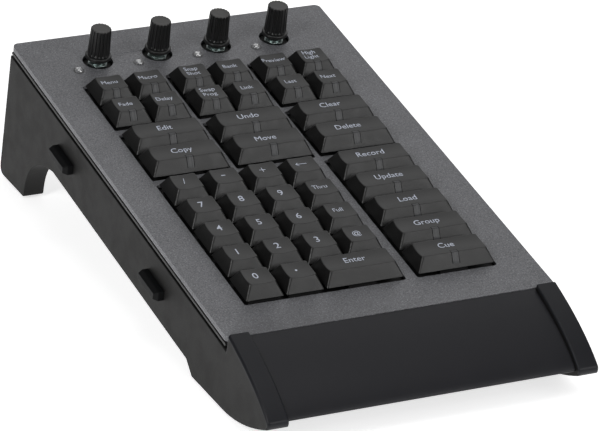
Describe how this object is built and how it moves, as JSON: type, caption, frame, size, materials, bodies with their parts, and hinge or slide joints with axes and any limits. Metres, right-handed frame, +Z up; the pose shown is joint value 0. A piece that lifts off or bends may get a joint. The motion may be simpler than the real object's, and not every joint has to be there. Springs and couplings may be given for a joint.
{
  "type": "lighting control desk",
  "caption": "Sloping desk-top lighting keypad console with sprung keys in blocks, rotary encoder knobs with indicator lenses, side cheeks, a curved nose and docking lugs.",
  "frame": {"origin": "middle of the desk's footprint, docking lugs included, on the surface it stands on", "axes": "+X to the right and +Y away from a seated user, +Z up; the deck rises towards +Y at 8.2 degrees"},
  "size_m": [0.1618, 0.2938, 0.0848],
  "materials": {
    "deck_paint": "fine textured powder coat",
    "tray_paint": "matt black powder coat",
    "cheek_plastic": "fine moulded grain",
    "nose_plastic": "satin",
    "plate_paint": "matt",
    "board_laminate": "solder mask",
    "switch_plastic": "moulded",
    "encoder_metal": "nickel plated",
    "lens_plastic": "clear polished",
    "socket_metal": "tinned",
    "lug_plastic": "semi-gloss moulded",
    "foot_rubber": "matt",
    "screw_steel": "zinc plated",
    "keycap_plastic": "fine moulded texture",
    "knob_plastic": "satin"
  },
  "bodies": {
    "case": {"top_panel": "deck_paint", "base_tray": "tray_paint", "left_cheek": "cheek_plastic", "right_cheek": "cheek_plastic", "nose_panel": "nose_plastic", "switch_plate": "plate_paint", "circuit_board": "board_laminate", "switch_housings": "switch_plastic", "rotary_encoders": "encoder_metal", "led_lenses": "lens_plastic", "usb_socket": "socket_metal", "docking_lugs": "lug_plastic", "rubber_feet": "foot_rubber", "case_screws": "screw_steel"},
    "key_0": {"key_0": "keycap_plastic"},
    "key_point": {"key_point": "keycap_plastic"},
    "key_enter": {"key_enter": "keycap_plastic"},
    "key_1": {"key_1": "keycap_plastic"},
    "key_2": {"key_2": "keycap_plastic"},
    "key_3": {"key_3": "keycap_plastic"},
    "key_4": {"key_4": "keycap_plastic"},
    "key_5": {"key_5": "keycap_plastic"},
    "key_6": {"key_6": "keycap_plastic"},
    "key_7": {"key_7": "keycap_plastic"},
    "key_8": {"key_8": "keycap_plastic"},
    "key_9": {"key_9": "keycap_plastic"},
    "key_at": {"key_at": "keycap_plastic"},
    "key_full": {"key_full": "keycap_plastic"},
    "key_thru": {"key_thru": "keycap_plastic"},
    "key_slash": {"key_slash": "keycap_plastic"},
    "key_minus": {"key_minus": "keycap_plastic"},
    "key_plus": {"key_plus": "keycap_plastic"},
    "key_back": {"key_back": "keycap_plastic"},
    "key_cue": {"key_cue": "keycap_plastic"},
    "key_group": {"key_group": "keycap_plastic"},
    "key_load": {"key_load": "keycap_plastic"},
    "key_update": {"key_update": "keycap_plastic"},
    "key_record": {"key_record": "keycap_plastic"},
    "key_copy": {"key_copy": "keycap_plastic"},
    "key_move": {"key_move": "keycap_plastic"},
    "key_delete": {"key_delete": "keycap_plastic"},
    "key_edit": {"key_edit": "keycap_plastic"},
    "key_undo": {"key_undo": "keycap_plastic"},
    "key_clear": {"key_clear": "keycap_plastic"},
    "key_fade": {"key_fade": "keycap_plastic"},
    "key_delay": {"key_delay": "keycap_plastic"},
    "key_swap_prog": {"key_swap_prog": "keycap_plastic"},
    "key_link": {"key_link": "keycap_plastic"},
    "key_last": {"key_last": "keycap_plastic"},
    "key_next": {"key_next": "keycap_plastic"},
    "key_menu": {"key_menu": "keycap_plastic"},
    "key_macro": {"key_macro": "keycap_plastic"},
    "key_snap_shot": {"key_snap_shot": "keycap_plastic"},
    "key_bank": {"key_bank": "keycap_plastic"},
    "key_preview": {"key_preview": "keycap_plastic"},
    "key_high_light": {"key_high_light": "keycap_plastic"},
    "knob_1": {"knob_1": "knob_plastic"},
    "knob_2": {"knob_2": "knob_plastic"},
    "knob_3": {"knob_3": "knob_plastic"},
    "knob_4": {"knob_4": "knob_plastic"}
  },
  "joints": [
    {"name": "key_0_press", "type": "slide", "parent": "case", "child": "key_0", "axis": [0, 0.1426, -0.9898], "range_m": [0, 0.003], "stiffness_N_per_m": 150, "springref_m": -0.002},
    {"name": "key_point_press", "type": "slide", "parent": "case", "child": "key_point", "axis": [0, 0.1426, -0.9898], "range_m": [0, 0.003], "stiffness_N_per_m": 150, "springref_m": -0.002},
    {"name": "key_enter_press", "type": "slide", "parent": "case", "child": "key_enter", "axis": [0, 0.1426, -0.9898], "range_m": [0, 0.003], "stiffness_N_per_m": 150, "springref_m": -0.002},
    {"name": "key_1_press", "type": "slide", "parent": "case", "child": "key_1", "axis": [0, 0.1426, -0.9898], "range_m": [0, 0.003], "stiffness_N_per_m": 150, "springref_m": -0.002},
    {"name": "key_2_press", "type": "slide", "parent": "case", "child": "key_2", "axis": [0, 0.1426, -0.9898], "range_m": [0, 0.003], "stiffness_N_per_m": 150, "springref_m": -0.002},
    {"name": "key_3_press", "type": "slide", "parent": "case", "child": "key_3", "axis": [0, 0.1426, -0.9898], "range_m": [0, 0.003], "stiffness_N_per_m": 150, "springref_m": -0.002},
    {"name": "key_4_press", "type": "slide", "parent": "case", "child": "key_4", "axis": [0, 0.1426, -0.9898], "range_m": [0, 0.003], "stiffness_N_per_m": 150, "springref_m": -0.002},
    {"name": "key_5_press", "type": "slide", "parent": "case", "child": "key_5", "axis": [0, 0.1426, -0.9898], "range_m": [0, 0.003], "stiffness_N_per_m": 150, "springref_m": -0.002},
    {"name": "key_6_press", "type": "slide", "parent": "case", "child": "key_6", "axis": [0, 0.1426, -0.9898], "range_m": [0, 0.003], "stiffness_N_per_m": 150, "springref_m": -0.002},
    {"name": "key_7_press", "type": "slide", "parent": "case", "child": "key_7", "axis": [0, 0.1426, -0.9898], "range_m": [0, 0.003], "stiffness_N_per_m": 150, "springref_m": -0.002},
    {"name": "key_8_press", "type": "slide", "parent": "case", "child": "key_8", "axis": [0, 0.1426, -0.9898], "range_m": [0, 0.003], "stiffness_N_per_m": 150, "springref_m": -0.002},
    {"name": "key_9_press", "type": "slide", "parent": "case", "child": "key_9", "axis": [0, 0.1426, -0.9898], "range_m": [0, 0.003], "stiffness_N_per_m": 150, "springref_m": -0.002},
    {"name": "key_at_press", "type": "slide", "parent": "case", "child": "key_at", "axis": [0, 0.1426, -0.9898], "range_m": [0, 0.003], "stiffness_N_per_m": 150, "springref_m": -0.002},
    {"name": "key_full_press", "type": "slide", "parent": "case", "child": "key_full", "axis": [0, 0.1426, -0.9898], "range_m": [0, 0.003], "stiffness_N_per_m": 150, "springref_m": -0.002},
    {"name": "key_thru_press", "type": "slide", "parent": "case", "child": "key_thru", "axis": [0, 0.1426, -0.9898], "range_m": [0, 0.003], "stiffness_N_per_m": 150, "springref_m": -0.002},
    {"name": "key_slash_press", "type": "slide", "parent": "case", "child": "key_slash", "axis": [0, 0.1426, -0.9898], "range_m": [0, 0.003], "stiffness_N_per_m": 150, "springref_m": -0.002},
    {"name": "key_minus_press", "type": "slide", "parent": "case", "child": "key_minus", "axis": [0, 0.1426, -0.9898], "range_m": [0, 0.003], "stiffness_N_per_m": 150, "springref_m": -0.002},
    {"name": "key_plus_press", "type": "slide", "parent": "case", "child": "key_plus", "axis": [0, 0.1426, -0.9898], "range_m": [0, 0.003], "stiffness_N_per_m": 150, "springref_m": -0.002},
    {"name": "key_back_press", "type": "slide", "parent": "case", "child": "key_back", "axis": [0, 0.1426, -0.9898], "range_m": [0, 0.003], "stiffness_N_per_m": 150, "springref_m": -0.002},
    {"name": "key_cue_press", "type": "slide", "parent": "case", "child": "key_cue", "axis": [0, 0.1426, -0.9898], "range_m": [0, 0.003], "stiffness_N_per_m": 150, "springref_m": -0.002},
    {"name": "key_group_press", "type": "slide", "parent": "case", "child": "key_group", "axis": [0, 0.1426, -0.9898], "range_m": [0, 0.003], "stiffness_N_per_m": 150, "springref_m": -0.002},
    {"name": "key_load_press", "type": "slide", "parent": "case", "child": "key_load", "axis": [0, 0.1426, -0.9898], "range_m": [0, 0.003], "stiffness_N_per_m": 150, "springref_m": -0.002},
    {"name": "key_update_press", "type": "slide", "parent": "case", "child": "key_update", "axis": [0, 0.1426, -0.9898], "range_m": [0, 0.003], "stiffness_N_per_m": 150, "springref_m": -0.002},
    {"name": "key_record_press", "type": "slide", "parent": "case", "child": "key_record", "axis": [0, 0.1426, -0.9898], "range_m": [0, 0.003], "stiffness_N_per_m": 150, "springref_m": -0.002},
    {"name": "key_copy_press", "type": "slide", "parent": "case", "child": "key_copy", "axis": [0, 0.1426, -0.9898], "range_m": [0, 0.003], "stiffness_N_per_m": 150, "springref_m": -0.002},
    {"name": "key_move_press", "type": "slide", "parent": "case", "child": "key_move", "axis": [0, 0.1426, -0.9898], "range_m": [0, 0.003], "stiffness_N_per_m": 150, "springref_m": -0.002},
    {"name": "key_delete_press", "type": "slide", "parent": "case", "child": "key_delete", "axis": [0, 0.1426, -0.9898], "range_m": [0, 0.003], "stiffness_N_per_m": 150, "springref_m": -0.002},
    {"name": "key_edit_press", "type": "slide", "parent": "case", "child": "key_edit", "axis": [0, 0.1426, -0.9898], "range_m": [0, 0.003], "stiffness_N_per_m": 150, "springref_m": -0.002},
    {"name": "key_undo_press", "type": "slide", "parent": "case", "child": "key_undo", "axis": [0, 0.1426, -0.9898], "range_m": [0, 0.003], "stiffness_N_per_m": 150, "springref_m": -0.002},
    {"name": "key_clear_press", "type": "slide", "parent": "case", "child": "key_clear", "axis": [0, 0.1426, -0.9898], "range_m": [0, 0.003], "stiffness_N_per_m": 150, "springref_m": -0.002},
    {"name": "key_fade_press", "type": "slide", "parent": "case", "child": "key_fade", "axis": [0, 0.1426, -0.9898], "range_m": [0, 0.003], "stiffness_N_per_m": 150, "springref_m": -0.002},
    {"name": "key_delay_press", "type": "slide", "parent": "case", "child": "key_delay", "axis": [0, 0.1426, -0.9898], "range_m": [0, 0.003], "stiffness_N_per_m": 150, "springref_m": -0.002},
    {"name": "key_swap_prog_press", "type": "slide", "parent": "case", "child": "key_swap_prog", "axis": [0, 0.1426, -0.9898], "range_m": [0, 0.003], "stiffness_N_per_m": 150, "springref_m": -0.002},
    {"name": "key_link_press", "type": "slide", "parent": "case", "child": "key_link", "axis": [0, 0.1426, -0.9898], "range_m": [0, 0.003], "stiffness_N_per_m": 150, "springref_m": -0.002},
    {"name": "key_last_press", "type": "slide", "parent": "case", "child": "key_last", "axis": [0, 0.1426, -0.9898], "range_m": [0, 0.003], "stiffness_N_per_m": 150, "springref_m": -0.002},
    {"name": "key_next_press", "type": "slide", "parent": "case", "child": "key_next", "axis": [0, 0.1426, -0.9898], "range_m": [0, 0.003], "stiffness_N_per_m": 150, "springref_m": -0.002},
    {"name": "key_menu_press", "type": "slide", "parent": "case", "child": "key_menu", "axis": [0, 0.1426, -0.9898], "range_m": [0, 0.003], "stiffness_N_per_m": 150, "springref_m": -0.002},
    {"name": "key_macro_press", "type": "slide", "parent": "case", "child": "key_macro", "axis": [0, 0.1426, -0.9898], "range_m": [0, 0.003], "stiffness_N_per_m": 150, "springref_m": -0.002},
    {"name": "key_snap_shot_press", "type": "slide", "parent": "case", "child": "key_snap_shot", "axis": [0, 0.1426, -0.9898], "range_m": [0, 0.003], "stiffness_N_per_m": 150, "springref_m": -0.002},
    {"name": "key_bank_press", "type": "slide", "parent": "case", "child": "key_bank", "axis": [0, 0.1426, -0.9898], "range_m": [0, 0.003], "stiffness_N_per_m": 150, "springref_m": -0.002},
    {"name": "key_preview_press", "type": "slide", "parent": "case", "child": "key_preview", "axis": [0, 0.1426, -0.9898], "range_m": [0, 0.003], "stiffness_N_per_m": 150, "springref_m": -0.002},
    {"name": "key_high_light_press", "type": "slide", "parent": "case", "child": "key_high_light", "axis": [0, 0.1426, -0.9898], "range_m": [0, 0.003], "stiffness_N_per_m": 150, "springref_m": -0.002},
    {"name": "knob_1_turn", "type": "hinge", "parent": "case", "child": "knob_1", "pos_m": [-0.04267, 0.11288, 0.07667], "axis": [0, -0.1426, 0.9898], "continuous": true},
    {"name": "knob_2_turn", "type": "hinge", "parent": "case", "child": "knob_2", "pos_m": [-0.01281, 0.11288, 0.07667], "axis": [0, -0.1426, 0.9898], "continuous": true},
    {"name": "knob_3_turn", "type": "hinge", "parent": "case", "child": "knob_3", "pos_m": [0.01706, 0.11288, 0.07667], "axis": [0, -0.1426, 0.9898], "continuous": true},
    {"name": "knob_4_turn", "type": "hinge", "parent": "case", "child": "knob_4", "pos_m": [0.04692, 0.11288, 0.07667], "axis": [0, -0.1426, 0.9898], "continuous": true}
  ]
}
